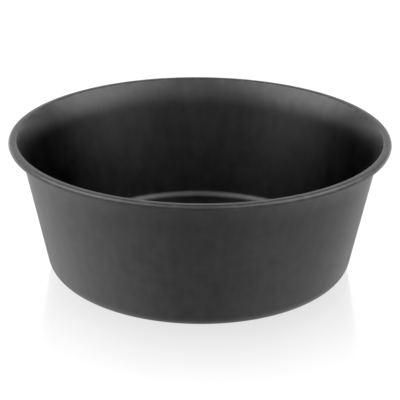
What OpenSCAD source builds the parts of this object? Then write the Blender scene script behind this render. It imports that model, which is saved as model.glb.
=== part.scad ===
// Hair colour mixing bowl: a moulded shell with a turned-out lip, and a rubber ring under its foot.
// The bowl stands on Z = 0 with its axis on Z.

/* [Bowl] */
// Outer diameter of the lip
rim_d = 140; // [120:1:160]
// Height from the table to the top of the lip
bowl_h = 51.5; // [40:0.5:65]
// Slope of the wall from the vertical, in degrees
wall_slope = 11; // [6:0.5:16]
// Thickness of the wall
wall_t = 1.2; // [0.9:0.1:2]
// Thickness of the floor
floor_t = 1.2; // [1:0.1:2.5]
// Radius of the outer corner between wall and foot
foot_corner_r = 5.6; // [4:0.1:7]
// Radius of the inner corner between wall and floor
floor_corner_r = 3; // [2:0.1:6]

/* [Lip] */
// How far the lip stands out from the line of the wall
lip_reach = 3.6; // [3.1:0.1:4.5]
// Thickness of the lip
lip_t = 2.5; // [2:0.1:3]
// Width of the lip's top, from its outer edge to the rounded mouth
lip_top_w = 2.1; // [1.6:0.1:2.6]
// Radius of the rounded mouth edge
mouth_r = 1.2; // [0.8:0.1:1.8]
// Slope of the wall's flare where it meets the mouth edge, in degrees from the horizontal
flare_slope = 59; // [54:0.5:64]

/* [Foot and ring] */
// Depth of the hollow under the floor, which the ring fills
ring_h = 1.8; // [1.5:0.1:3]
// Width of the ring
ring_w = 5; // [4:0.5:7]
// Width of the plastic foot outside the ring
foot_land = 1.7; // [1.2:0.1:3]
// How far the ring stands out below the plastic foot
ring_proud = 0.4; // [0.2:0.05:0.6]
// Rounding of the ring's lower edges
ring_edge_r = 0.5; // [0.3:0.1:0.8]
// Width of the rib on the inner side of the ring
rib_w = 1.6; // [1.2:0.1:2.5]
// Diameter of the dimple around the moulding gate, at the middle of the underside
gate_d = 10; // [6:1:14]

/* [Hidden] */
$fn = 96;
arc_step = 6;                // degrees between the points of an arc
ring_gap = 0.05;             // play on each side of the ring in its groove
gate_depth = 0.4;
gate_nub_d = 1.8;
gate_nub_h = 0.25;

rim_r = rim_d / 2;
wall_out_r = rim_r - lip_reach;                    // outer face of the wall, carried up to the lip's top
wall_in_r = wall_out_r - wall_t / cos(wall_slope); // inner face, likewise

floor_z = ring_h + floor_t;
lip_r = lip_t / 2;                                 // the lip's outer edge is fully round
lip_under_z = bowl_h - lip_t;

// The outer corner of the foot
foot_corner_z = ring_proud + foot_corner_r;
foot_corner_x = wall_x(wall_out_r, foot_corner_z) - foot_corner_r / cos(wall_slope);

// The inner corner of the floor
floor_corner_z = floor_z + floor_corner_r;
floor_corner_x = wall_x(wall_in_r, floor_corner_z) - floor_corner_r / cos(wall_slope);

// The rounded mouth edge, and the point where the flare meets it
mouth_x = rim_r - lip_top_w;
mouth_z = bowl_h - mouth_r;
meet_x = mouth_x - mouth_r * sin(flare_slope);
meet_z = mouth_z + mouth_r * cos(flare_slope);

// The flare is the one arc that touches both the mouth edge and the inner face of the wall
flare_r = (meet_x - wall_x(wall_in_r, meet_z))
    / (cos(wall_slope) - sin(flare_slope) - tan(wall_slope) * (cos(flare_slope) - sin(wall_slope)));
flare_x = meet_x + flare_r * sin(flare_slope);
flare_z = meet_z - flare_r * cos(flare_slope);
flare_out_r = flare_r - wall_t;
flare_end = acos((lip_under_z - flare_z) / flare_out_r);   // slope of the outer face at the lip

// The groove under the foot, and the ring in it
groove_out_r = foot_corner_x - foot_land;
ring_out_r = groove_out_r - ring_gap;
ring_in_r = ring_out_r - ring_w;
groove_in_r = ring_in_r - ring_gap;
rib_in_r = groove_in_r - rib_w;

// Radius at height z of a wall face that would have radius top_r at the lip's top
function wall_x(top_r, z) = top_r - (bowl_h - z) * tan(wall_slope);

// Points on an arc about [x, z], from angle a to angle b
function arc(x, z, r, a, b) =
    let (steps = ceil(abs(b - a) / arc_step))
    [for (i = [0 : steps]) let (t = a + (b - a) * i / steps) [x + r * cos(t), z + r * sin(t)]];

// Half section of the shell, with the groove and the gate left solid
module shell_section() {
    polygon(concat(
        [[0, ring_proud]],
        arc(foot_corner_x, foot_corner_z, foot_corner_r, -90, -wall_slope),
        arc(flare_x, flare_z, flare_out_r, 180 - wall_slope, 90 + flare_end),
        arc(rim_r - lip_r, bowl_h - lip_r, lip_r, -90, 90),
        arc(mouth_x, mouth_z, mouth_r, 90, 90 + flare_slope),
        arc(flare_x, flare_z, flare_r, 90 + flare_slope, 180 - wall_slope),
        arc(floor_corner_x, floor_corner_z, floor_corner_r, -wall_slope, -90),
        [[0, floor_z]]
    ));
}

// Half section of what is cut away under the floor: the middle, then the groove for the ring
module underside_section() {
    square([rib_in_r, ring_h]);
    translate([groove_in_r, 0]) square([groove_out_r - groove_in_r, ring_h]);
}

module bowl() {
    color([0.2, 0.2, 0.2])
    union() {
        difference() {
            rotate_extrude() shell_section();
            rotate_extrude() underside_section();
            translate([0, 0, ring_h - gate_depth]) cylinder(d = gate_d, h = 2 * gate_depth);
        }
        translate([0, 0, ring_h + gate_depth - gate_nub_h]) cylinder(d = gate_nub_d, h = 2 * gate_nub_h);
    }
}

module non_slip_ring() {
    color([0.1, 0.1, 0.1])
    rotate_extrude() polygon(concat(
        [[ring_in_r, ring_h]],
        arc(ring_in_r + ring_edge_r, ring_edge_r, ring_edge_r, 180, 270),
        arc(ring_out_r - ring_edge_r, ring_edge_r, ring_edge_r, 270, 360),
        [[ring_out_r, ring_h]]
    ));
}

bowl();
non_slip_ring();
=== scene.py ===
import math

import bmesh
import bpy
from mathutils import Matrix, Vector


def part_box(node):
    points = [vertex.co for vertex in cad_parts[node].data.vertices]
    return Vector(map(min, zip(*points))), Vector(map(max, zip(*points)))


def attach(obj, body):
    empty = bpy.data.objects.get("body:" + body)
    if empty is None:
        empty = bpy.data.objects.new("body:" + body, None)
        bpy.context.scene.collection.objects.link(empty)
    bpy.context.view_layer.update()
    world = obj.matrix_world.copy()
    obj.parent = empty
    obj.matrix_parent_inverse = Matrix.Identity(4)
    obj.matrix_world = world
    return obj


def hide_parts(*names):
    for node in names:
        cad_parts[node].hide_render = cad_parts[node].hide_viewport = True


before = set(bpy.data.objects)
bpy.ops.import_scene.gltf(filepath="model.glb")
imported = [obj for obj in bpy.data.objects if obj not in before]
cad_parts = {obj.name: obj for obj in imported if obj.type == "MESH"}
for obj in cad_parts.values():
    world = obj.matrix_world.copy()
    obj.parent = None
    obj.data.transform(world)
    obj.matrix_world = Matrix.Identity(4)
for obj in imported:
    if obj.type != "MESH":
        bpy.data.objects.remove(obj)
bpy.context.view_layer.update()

BODY = "root"
MM = 0.001
RIGHT = math.pi / 2

# ---------------------------------------------------------------- sizes, in metres
BOWL_LOW, BOWL_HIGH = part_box("bowl")
RING_LOW, RING_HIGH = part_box("non_slip_ring")

RIM_R = BOWL_HIGH.x               # outer edge of the lip
RIM_Z = BOWL_HIGH.z               # top of the lip
FOOT_Z = BOWL_LOW.z               # underside of the plastic foot
RING_R = RING_HIGH.x              # outer edge of the rubber ring
RING_TOP = RING_HIGH.z            # roof of the groove, and underside of the floor

WALL_SLOPE = math.radians(11)     # from the vertical
WALL_T = 1.2 * MM
FLOOR_T = 1.2 * MM
FOOT_CORNER_R = 5.6 * MM
FLOOR_CORNER_R = 3 * MM
LIP_REACH = 3.6 * MM              # from the line of the wall to the lip's edge
LIP_T = 2.5 * MM
LIP_TOP_W = 2.1 * MM
MOUTH_R = 1.2 * MM
FLARE_SLOPE = math.radians(59)
RING_W = 5 * MM
GROOVE_PLAY = 0.05 * MM
RIB_W = 1.6 * MM
SMALL_EDGE_R = 0.25 * MM          # moulded edges under the foot
LIP_ROOT_R = 0.5 * MM             # where the lip's underside meets the wall
SEAM_H = 0.05 * MM                # witness line of the mould's parting, round the lip's edge
SEAM_W = 0.16 * MM
GATE_R = 5 * MM
GATE_DEPTH = 0.4 * MM
NUB_R = 0.9 * MM
NUB_H = 0.25 * MM
TREAD_GROOVES = 3                 # fine grooves in the ring's underside
TREAD_W = 0.5 * MM
TREAD_DEPTH = 0.25 * MM
TREAD_EDGE_R = 0.12 * MM

TURN_STEPS = 288                  # segments round the axis
ARC_STEP = math.radians(4)
LIP_STEP = math.radians(2)        # finer, to show the parting line
CORNER_STEPS = 4                  # segments of a small rounded corner
CORNER_ROOM = 0.45                # the most of a side that one of its corners takes up
WALL_RINGS = 24
FLOOR_RINGS = 16
ON_AXIS = 1e-9                    # a point nearer the axis than this lies on it

# ---------------------------------------------------------------- looks
PLASTIC_IOR = 1.48
PLASTIC_ROUGHNESS = (0.41, 0.30)  # square on, and at a grazing angle, where satin plastic is glossier
PLASTIC_FACING = (0.02, 0.55)     # how far the face is turned away where each of those is reached
PLASTIC_CLOUDS = ((0.0048, 0.0048, 0.0051), (0.0072, 0.0072, 0.0074))
PLASTIC_FILM = (0.46, 0.54)       # strength of the reflection, 0.5 being a clean surface
FILM_FLOW = (-0.03, 0.03)         # added to it in upright streaks
DULL_PATCHES = (-0.012, 0.012)    # added to the roughness
DULL_STREAKS = (-0.008, 0.008)
UPRIGHT = (1, 1, 0.1)             # draws a noise out along Z
LONG_UPRIGHT = (1, 1, 0.08)

LIP_WEAR = (2.2 * MM, 0.9 * MM)   # below the lip's top, where it starts and where it is full
FOOT_WEAR = (1.6 * MM, 0.2 * MM)  # likewise, above the foot's underside
WEAR_COLOR = (0.022, 0.022, 0.022)
WEAR_SHARE = 0.5                  # how much of that colour a worn patch has
WEAR_DULLNESS = 0.05              # and what it adds to the roughness

RUBBER_IOR = 1.5
RUBBER_ROUGHNESS = (0.68, 0.86)
RUBBER_SPECKLE = ((0.012, 0.012, 0.013), (0.02, 0.02, 0.021))
RUBBER_BLOOM = (0.034, 0.034, 0.036)

# Relief: size, detail and depth
PLASTIC_SWELL = (8 * MM, 1, 0.02 * MM)
PLASTIC_GRAIN = (0.38 * MM, 3, 0.012 * MM)
PLASTIC_PEBBLE = (1.1 * MM, 2, 0.008 * MM)
RUBBER_TOOTH = (0.22 * MM, 3, 0.02 * MM)
RUBBER_SWELL = (3 * MM, 2, 0.03 * MM)

BLACK_POINT = 0.0103              # light below this is shown as black

# ---------------------------------------------------------------- the studio
WHITE = 1.08                      # just over plain white, so that it stays white
FLOOR_R = 6.0
SHEEN_WHITE = 0.735               # the floor's own light round the foot
SHEEN_GLOSS = 0.24                # and how strongly it mirrors there
SHEEN_ROUGHNESS = 0.12
SHEEN_MIDDLE = (3.5 * MM, -5 * MM, 0)       # a little right of the bowl's axis and in front of it
SHEEN_NEAR, SHEEN_FAR = 45 * MM, 100 * MM   # from its middle, where it starts to fade and where it ends

# What the bowl mirrors. Each list is a brightness, or a factor on one, against one part of the
# direction to what is mirrored: X is to the right, Y away from the camera, Z up.
FLOOR_BY_Z = [(-1, 0.8), (-0.42, 0.8), (-0.12, 0.1), (0, 0), (1, 0)]
FLOOR_BY_X = [(-1, 2.5), (-0.5, 1.65), (-0.2, 1.1), (0.2, 1.12), (0.5, 1.55), (1, 1.5)]
FLOOR_BY_Y = [(-1, 1), (-0.1, 1), (0.3, 0.82), (0.7, 0.64), (0.85, 0.52), (1, 0.5)]
# A pale backdrop behind the bowl, from below the horizon to just above it
BACKDROP_BY_Z = [(-1, 0), (-0.45, 0), (-0.2, 1.5), (0.05, 0.9), (0.15, 0), (1, 0)]
BACKDROP_BY_Y = [(-1, 0), (-0.1, 0), (0.3, 1), (1, 1)]
# The room's walls and ceiling
ROOM_BY_Z = [(-1, 0), (-0.2, 0), (0, 0.3), (0.2, 0.45), (0.35, 0.87), (0.6, 0.77), (1, 0.45)]

# Azimuth, elevation, angle to the edge of the core, angle to the outer edge, strength
SOFT_LIGHTS = [
    (0, 36, 5, 30, 1.15),         # over the camera
    (-78, 41, 6, 46, 4.8),        # left
    (76, 41, 6, 46, 4.4),         # right
    (-140, 14, 5, 30, 0.45),      # low, behind on the left
    (140, 14, 5, 30, 0.2),        # low, behind on the right
    (180, 14, 12, 40, 0.3),       # low, straight behind
]

CAMERA_PLACE = (0.00015, -0.4195, 0.2004)
CAMERA_DOWN = 22.77               # degrees below the horizontal
CAMERA_ROLL = 0.45                # degrees
CAMERA_LENS = 108.65              # mm


# ---------------------------------------------------------------- outlines
def wall_x(top_r, z):
    """Radius at height z of a wall face that would have radius top_r at the rim's height."""
    return top_r - (RIM_Z - z) * math.tan(WALL_SLOPE)


def arc(x, z, r, start, end, step=ARC_STEP):
    """Points of an arc about (x, z), between two angles in radians."""
    count = max(2, math.ceil(abs(end - start) / step))
    angles = [start + (end - start) * i / count for i in range(count + 1)]
    return [(x + r * math.cos(a), z + r * math.sin(a)) for a in angles]


def rounded(corners, radius):
    """The corners as an open line, each of the inner ones rounded to the radius where there is room."""
    points = [corners[0]]
    for before, here, after in zip(corners, corners[1:], corners[2:]):
        a, p, b = Vector(before), Vector(here), Vector(after)
        to_a, to_b = (a - p).normalized(), (b - p).normalized()
        half = to_a.angle(to_b) / 2
        room = CORNER_ROOM * min((a - p).length, (b - p).length)
        reach = min(radius / math.tan(half), room)
        start, end = p + to_a * reach, p + to_b * reach
        for i in range(CORNER_STEPS + 1):
            t = i / CORNER_STEPS
            points.append(tuple((1 - t) ** 2 * start + 2 * t * (1 - t) * p + t ** 2 * end))
    return points + [corners[-1]]


def along(start, end, pieces):
    """Points between two ends, both left out, so that long straight faces have even rings."""
    return [
        (start[0] + (end[0] - start[0]) * i / pieces, start[1] + (end[1] - start[1]) * i / pieces)
        for i in range(1, pieces)
    ]


def corner_centre(top_r, level, r):
    """Centre of the arc that joins the wall face of radius top_r at the rim to a flat at this level."""
    z = level + r
    return wall_x(top_r, z) - r / math.cos(WALL_SLOPE), z


def flare_arc(wall_in, mouth_x, mouth_z):
    """Centre and radius of the arc that touches the mouth's rounded edge and the wall's inner face."""
    meet_x = mouth_x - MOUTH_R * math.sin(FLARE_SLOPE)
    meet_z = mouth_z + MOUTH_R * math.cos(FLARE_SLOPE)
    r = (meet_x - wall_x(wall_in, meet_z)) / (
        math.cos(WALL_SLOPE) - math.sin(FLARE_SLOPE)
        - math.tan(WALL_SLOPE) * (math.cos(FLARE_SLOPE) - math.sin(WALL_SLOPE))
    )
    return meet_x + r * math.sin(FLARE_SLOPE), meet_z - r * math.cos(FLARE_SLOPE), r


def underside_outline(foot_x):
    """From the gate's mark in the middle, over the rib and the ring's groove, to the foot's corner."""
    groove_out = RING_R + GROOVE_PLAY
    groove_in = RING_R - RING_W - GROOVE_PLAY
    gate_top = RING_TOP + GATE_DEPTH
    line = [
        (0, gate_top - NUB_H), (NUB_R, gate_top - NUB_H), (NUB_R, gate_top),
        (GATE_R, gate_top), (GATE_R, RING_TOP),
        (groove_in - RIB_W, RING_TOP), (groove_in - RIB_W, FOOT_Z),
        (groove_in, FOOT_Z), (groove_in, RING_TOP),
        (groove_out, RING_TOP), (groove_out, FOOT_Z), (foot_x, FOOT_Z),
    ]
    return rounded(line, SMALL_EDGE_R)


def seam(dz):
    """Height of the parting line's ridge, dz from its middle."""
    return SEAM_H * math.exp(-((dz / (SEAM_W / 2)) ** 2))


def lip_outline():
    """The lip's round outer edge, from its underside to its top, with the parting line on it."""
    r = LIP_T / 2
    edge = arc(RIM_R - r, RIM_Z - r, r, -RIGHT, RIGHT, LIP_STEP)
    return [(x - SEAM_H + seam(z - RIM_Z + r), z) for x, z in edge]


def bowl_outline():
    """The shell's half section, from the middle of the underside round to the middle of the floor."""
    wall_out = RIM_R - LIP_REACH
    wall_in = wall_out - WALL_T / math.cos(WALL_SLOPE)
    floor_z = RING_TOP + FLOOR_T
    foot_x, foot_z = corner_centre(wall_out, FOOT_Z, FOOT_CORNER_R)
    corner_x, corner_z = corner_centre(wall_in, floor_z, FLOOR_CORNER_R)
    mouth_x, mouth_z = RIM_R - LIP_TOP_W, RIM_Z - MOUTH_R
    flare_x, flare_z, flare_r = flare_arc(wall_in, mouth_x, mouth_z)
    flare_end = math.acos((RIM_Z - LIP_T - flare_z) / (flare_r - WALL_T))

    foot = arc(foot_x, foot_z, FOOT_CORNER_R, -RIGHT, -WALL_SLOPE)
    flare_out = arc(flare_x, flare_z, flare_r - WALL_T, math.pi - WALL_SLOPE, RIGHT + flare_end)
    lip = lip_outline()
    root = rounded([flare_out[-2], flare_out[-1], lip[0]], LIP_ROOT_R)
    mouth = arc(mouth_x, mouth_z, MOUTH_R, RIGHT, RIGHT + FLARE_SLOPE)
    flare_in = arc(flare_x, flare_z, flare_r, RIGHT + FLARE_SLOPE, math.pi - WALL_SLOPE)
    corner = arc(corner_x, corner_z, FLOOR_CORNER_R, -WALL_SLOPE, -RIGHT)
    outside = foot + along(foot[-1], flare_out[0], WALL_RINGS) + flare_out[:-2] + root[:-1]
    inside = mouth + flare_in[1:] + along(flare_in[-1], corner[0], WALL_RINGS) + corner
    floor = along(corner[-1], (0, floor_z), FLOOR_RINGS) + [(0, floor_z)]
    return underside_outline(foot_x)[:-1] + outside + lip + inside + floor


def ring_outline():
    """The rubber ring's half section, with fine grooves in its underside."""
    inner = RING_R - RING_W
    pitch = RING_W / (TREAD_GROOVES + 1)
    line = [(inner, RING_TOP), (inner, 0)]
    for i in range(1, TREAD_GROOVES + 1):
        x = inner + pitch * i
        line += [(x - TREAD_W / 2, 0), (x - TREAD_W / 4, TREAD_DEPTH)]
        line += [(x + TREAD_W / 4, TREAD_DEPTH), (x + TREAD_W / 2, 0)]
    line += [(RING_R, 0), (RING_R, RING_TOP)]
    return rounded(line, TREAD_EDGE_R)


# ---------------------------------------------------------------- meshes
def revolve(name, outline, closed):
    """An outline turned round Z. A closed one makes a ring, an open one has its ends on Z."""
    mesh = bpy.data.meshes.new(name)
    bm = bmesh.new()
    turns = [2 * math.pi * i / TURN_STEPS for i in range(TURN_STEPS)]
    rows = []
    for x, z in outline:
        if x < ON_AXIS:
            rows.append([bm.verts.new((0, 0, z))])
            continue
        rows.append([bm.verts.new((x * math.cos(t), x * math.sin(t), z)) for t in turns])
    pairs = list(zip(rows, rows[1:])) + ([(rows[-1], rows[0])] if closed else [])
    for lower, upper in pairs:
        for i in range(TURN_STEPS):
            j = (i + 1) % TURN_STEPS
            if len(lower) == 1:
                bm.faces.new((lower[0], upper[j], upper[i]))
            elif len(upper) == 1:
                bm.faces.new((lower[i], lower[j], upper[0]))
            else:
                bm.faces.new((lower[i], lower[j], upper[j], upper[i]))
    bmesh.ops.recalc_face_normals(bm, faces=bm.faces)
    for face in bm.faces:
        face.smooth = True
    bm.to_mesh(mesh)
    bm.free()
    piece = bpy.data.objects.new(name, mesh)
    bpy.context.scene.collection.objects.link(piece)
    return piece


# ---------------------------------------------------------------- materials
class Nodes:
    """Short calls for building one node tree."""

    def __init__(self, tree):
        self.tree = tree

    def add(self, kind, **values):
        node = self.tree.nodes.new(kind)
        for key, value in values.items():
            setattr(node, key, value)
        return node

    def link(self, source, target):
        self.tree.links.new(source, target)

    def place(self):
        """Position on the object, in metres."""
        return self.add("ShaderNodeTexCoord").outputs["Object"]

    def parts(self, vector):
        split = self.add("ShaderNodeSeparateXYZ")
        self.link(vector, split.inputs["Vector"])
        return split.outputs

    def noise(self, size, detail=2.0, stretch=(1, 1, 1)):
        """Noise whose features are about this size, in metres."""
        mapping = self.add("ShaderNodeMapping")
        mapping.inputs["Scale"].default_value = [s / size for s in stretch]
        self.link(self.place(), mapping.inputs["Vector"])
        noise = self.add("ShaderNodeTexNoise")
        noise.inputs["Scale"].default_value = 1.0
        noise.inputs["Detail"].default_value = detail
        self.link(mapping.outputs["Vector"], noise.inputs["Vector"])
        return noise.outputs["Fac"]

    def ranged(self, value, low, high, from_low=0.3, from_high=0.7, smooth=False):
        """The value carried to a new range and held at its ends. Noise is mostly 0.3 to 0.7."""
        node = self.add("ShaderNodeMapRange", interpolation_type="SMOOTHSTEP" if smooth else "LINEAR")
        node.inputs["From Min"].default_value = from_low
        node.inputs["From Max"].default_value = from_high
        node.inputs["To Min"].default_value = low
        node.inputs["To Max"].default_value = high
        self.link(value, node.inputs["Value"])
        return node.outputs["Result"]

    def math(self, operation, a, b):
        node = self.add("ShaderNodeMath", operation=operation)
        self.link(a, node.inputs[0])
        if isinstance(b, (int, float)):
            node.inputs[1].default_value = b
        else:
            self.link(b, node.inputs[1])
        return node.outputs["Value"]

    def mix(self, factor, a, b):
        """A colour between a and b, each of them a colour or a socket."""
        node = self.add("ShaderNodeMix", data_type="RGBA")
        self.link(factor, node.inputs["Factor"])
        for socket, value in ((node.inputs["A"], a), (node.inputs["B"], b)):
            if isinstance(value, tuple):
                socket.default_value = (*value, 1)
            else:
                self.link(value, socket)
        return node.outputs["Result"]

    def relief(self, size, detail, depth, normal=None):
        """Relief made of noise, on top of another where that one's normal is given."""
        height = self.noise(size, detail)
        node = self.add("ShaderNodeBump")
        node.inputs["Distance"].default_value = depth
        self.link(height, node.inputs["Height"])
        if normal is not None:
            self.link(normal, node.inputs["Normal"])
        return node.outputs["Normal"]


def new_material(name):
    """A material, with the short calls for its empty tree, and its output."""
    material = bpy.data.materials.new(name)
    material.use_nodes = True
    material.node_tree.nodes.clear()
    n = Nodes(material.node_tree)
    return material, n, n.add("ShaderNodeOutputMaterial").inputs["Surface"]


def edge_wear(n):
    """1 on the rubbed patches of the lip's outer edge and of the foot, 0 elsewhere."""
    height = n.parts(n.place())["Z"]
    lip = n.ranged(height, 0, 1, RIM_Z - LIP_WEAR[0], RIM_Z - LIP_WEAR[1], smooth=True)
    foot = n.ranged(height, 1, 0, FOOT_Z + FOOT_WEAR[1], FOOT_Z + FOOT_WEAR[0], smooth=True)
    edges = n.math("MAXIMUM", lip, foot)
    return n.math("MULTIPLY", edges, n.ranged(n.noise(4 * MM, 6), 0, 1, 0.5, 0.72, smooth=True))


def bowl_plastic():
    """Black moulded plastic: satin and finely grained, with faint flow streaks and rubbed edges."""
    material, n, out = new_material("bowl_plastic")
    shader = n.add("ShaderNodeBsdfPrincipled")
    shader.inputs["IOR"].default_value = PLASTIC_IOR
    worn = edge_wear(n)

    film = n.ranged(n.noise(4 * MM, 6), *PLASTIC_FILM)
    flow = n.ranged(n.noise(3 * MM, 4, UPRIGHT), *FILM_FLOW)
    n.link(n.math("ADD", film, flow), shader.inputs["Specular IOR Level"])

    cloudy = n.mix(n.ranged(n.noise(9 * MM, 4), 0, 1), *PLASTIC_CLOUDS)
    rubbed = n.mix(n.math("MULTIPLY", worn, WEAR_SHARE), cloudy, WEAR_COLOR)
    n.link(rubbed, shader.inputs["Base Color"])

    facing = n.add("ShaderNodeLayerWeight")
    facing.inputs["Blend"].default_value = 0.5
    gloss = n.ranged(facing.outputs["Facing"], *PLASTIC_ROUGHNESS, *PLASTIC_FACING, smooth=True)
    patches = n.ranged(n.noise(6 * MM, 5), *DULL_PATCHES)
    streaks = n.ranged(n.noise(5 * MM, 3, LONG_UPRIGHT), *DULL_STREAKS)
    dull = n.math("MULTIPLY", worn, WEAR_DULLNESS)
    roughness = n.math("ADD", n.math("ADD", gloss, patches), n.math("ADD", streaks, dull))
    n.link(roughness, shader.inputs["Roughness"])

    grain = n.relief(*PLASTIC_GRAIN, n.relief(*PLASTIC_SWELL))
    n.link(n.relief(*PLASTIC_PEBBLE, grain), shader.inputs["Normal"])
    n.link(shader.outputs["BSDF"], out)
    return material


def ring_rubber():
    """Matt black rubber with a fine speckle and a little grey bloom."""
    material, n, out = new_material("ring_rubber")
    shader = n.add("ShaderNodeBsdfPrincipled")
    shader.inputs["IOR"].default_value = RUBBER_IOR
    speckle = n.mix(n.ranged(n.noise(0.6 * MM, 4), 0, 1), *RUBBER_SPECKLE)
    bloom = n.ranged(n.noise(7 * MM, 5), 0, 0.6, 0.45, 0.75, smooth=True)
    n.link(n.mix(bloom, speckle, RUBBER_BLOOM), shader.inputs["Base Color"])
    n.link(n.ranged(n.noise(2 * MM, 4), *RUBBER_ROUGHNESS), shader.inputs["Roughness"])
    n.link(n.relief(*RUBBER_SWELL, n.relief(*RUBBER_TOOTH)), shader.inputs["Normal"])
    n.link(shader.outputs["BSDF"], out)
    return material


# ---------------------------------------------------------------- the object
def make_bowl():
    bowl = revolve("bowl_shell", bowl_outline(), closed=False)
    bowl.data.materials.append(bowl_plastic())
    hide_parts("bowl")
    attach(bowl, BODY)


def make_ring():
    ring = revolve("rubber_ring", ring_outline(), closed=True)
    ring.data.materials.append(ring_rubber())
    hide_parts("non_slip_ring")
    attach(ring, BODY)


# ---------------------------------------------------------------- the studio
def floor_sheen(n):
    """White with a soft gloss round the bowl's foot, plain white further off."""
    near = n.add("ShaderNodeEmission")
    near.inputs["Strength"].default_value = SHEEN_WHITE
    gloss = n.add("ShaderNodeBsdfGlossy")
    gloss.inputs["Color"].default_value = (SHEEN_GLOSS, SHEEN_GLOSS, SHEEN_GLOSS, 1)
    gloss.inputs["Roughness"].default_value = SHEEN_ROUGHNESS
    sheen = n.add("ShaderNodeAddShader")
    n.link(near.outputs["Emission"], sheen.inputs[0])
    n.link(gloss.outputs["BSDF"], sheen.inputs[1])
    far = n.add("ShaderNodeEmission")
    far.inputs["Strength"].default_value = WHITE
    from_middle = n.add("ShaderNodeVectorMath", operation="SUBTRACT")
    from_middle.inputs[1].default_value = SHEEN_MIDDLE
    n.link(n.place(), from_middle.inputs[0])
    distance = n.add("ShaderNodeVectorMath", operation="LENGTH")
    n.link(from_middle.outputs["Vector"], distance.inputs[0])
    both = n.add("ShaderNodeMixShader")
    n.link(n.ranged(distance.outputs["Value"], 0, 1, SHEEN_NEAR, SHEEN_FAR), both.inputs[0])
    n.link(sheen.outputs["Shader"], both.inputs[1])
    n.link(far.outputs["Emission"], both.inputs[2])
    return both.outputs["Shader"]


def make_floor():
    """A white sheet that mirrors the bowl's foot faintly, and is clear when seen from below."""
    mesh = bpy.data.meshes.new("floor")
    bm = bmesh.new()
    bmesh.ops.create_circle(bm, cap_ends=True, radius=FLOOR_R, segments=96)
    bm.to_mesh(mesh)
    bm.free()
    floor = bpy.data.objects.new("floor", mesh)
    bpy.context.scene.collection.objects.link(floor)
    material, n, out = new_material("floor_sheet")
    side = n.add("ShaderNodeMixShader")
    n.link(n.add("ShaderNodeNewGeometry").outputs["Backfacing"], side.inputs[0])
    n.link(floor_sheen(n), side.inputs[1])
    n.link(n.add("ShaderNodeBsdfTransparent").outputs["BSDF"], side.inputs[2])
    n.link(side.outputs["Shader"], out)
    floor.data.materials.append(material)
    floor.visible_glossy = False
    floor.visible_diffuse = False


def graded(n, value, stops):
    """Brightness against one part of a direction, in straight lines between the stops."""
    brightest = max(grey for _, grey in stops)
    node = n.add("ShaderNodeValToRGB")
    ramp = node.color_ramp
    for _ in stops[2:]:
        ramp.elements.new(0.5)
    for element, (part, grey) in zip(ramp.elements, stops):
        element.position = (part + 1) / 2
        element.color = [grey / brightest] * 3 + [1]
    n.link(n.ranged(value, 0, 1, -1, 1), node.inputs["Fac"])
    return n.math("MULTIPLY", node.outputs["Color"], brightest)


def soft_light(n, direction, azimuth, elevation, core, edge, strength):
    """A round light without an edge. Angles are in degrees, and azimuth 0 is towards the camera."""
    a, e = math.radians(azimuth), math.radians(elevation)
    dot = n.add("ShaderNodeVectorMath", operation="DOT_PRODUCT")
    n.link(direction, dot.inputs[0])
    dot.inputs[1].default_value = (math.sin(a) * math.cos(e), -math.cos(a) * math.cos(e), math.sin(e))
    limits = math.cos(math.radians(edge)), math.cos(math.radians(core))
    return n.ranged(dot.outputs["Value"], 0, strength, *limits, smooth=True)


def make_world():
    """Plain white to the camera. The bowl sees a pale studio, with a large soft light on each side."""
    world = bpy.data.worlds.new("studio")
    bpy.context.scene.world = world
    world.use_nodes = True
    n = Nodes(world.node_tree)
    direction = n.add("ShaderNodeTexCoord").outputs["Generated"]
    part = n.parts(direction)
    floor = n.math("MULTIPLY", graded(n, part["Z"], FLOOR_BY_Z), graded(n, part["X"], FLOOR_BY_X))
    floor = n.math("MULTIPLY", floor, graded(n, part["Y"], FLOOR_BY_Y))
    room = graded(n, part["Z"], ROOM_BY_Z)
    backdrop = graded(n, part["Z"], BACKDROP_BY_Z)
    backdrop = n.math("MULTIPLY", backdrop, graded(n, part["Y"], BACKDROP_BY_Y))
    total = n.math("ADD", n.math("ADD", floor, room), backdrop)
    for light in SOFT_LIGHTS:
        total = n.math("ADD", total, soft_light(n, direction, *light))
    camera_ray = n.add("ShaderNodeLightPath").outputs["Is Camera Ray"]
    background = world.node_tree.nodes["Background"]
    n.link(n.mix(camera_ray, total, (WHITE, WHITE, WHITE)), background.inputs["Color"])


def make_camera():
    """A view from the front and a little above, through a long lens."""
    data = bpy.data.cameras.new("camera")
    data.sensor_width = 36
    data.lens = CAMERA_LENS
    data.clip_start, data.clip_end = 0.01, 50
    camera = bpy.data.objects.new("camera", data)
    bpy.context.scene.collection.objects.link(camera)
    tilt = Matrix.Rotation(math.radians(90 - CAMERA_DOWN), 4, "X")
    roll = Matrix.Rotation(math.radians(CAMERA_ROLL), 4, "Z")
    camera.matrix_world = Matrix.Translation(CAMERA_PLACE) @ tilt @ roll
    bpy.context.scene.camera = camera


def set_tones():
    """Plain colours, with the deepest shadows let down to black as in a catalogue picture."""
    view = bpy.context.scene.view_settings
    view.view_transform = "Standard"
    view.use_curve_mapping = True
    view.curve_mapping.black_level = (BLACK_POINT, BLACK_POINT, BLACK_POINT)
    view.curve_mapping.update()


make_bowl()
make_ring()
make_floor()
make_world()
make_camera()
set_tones()
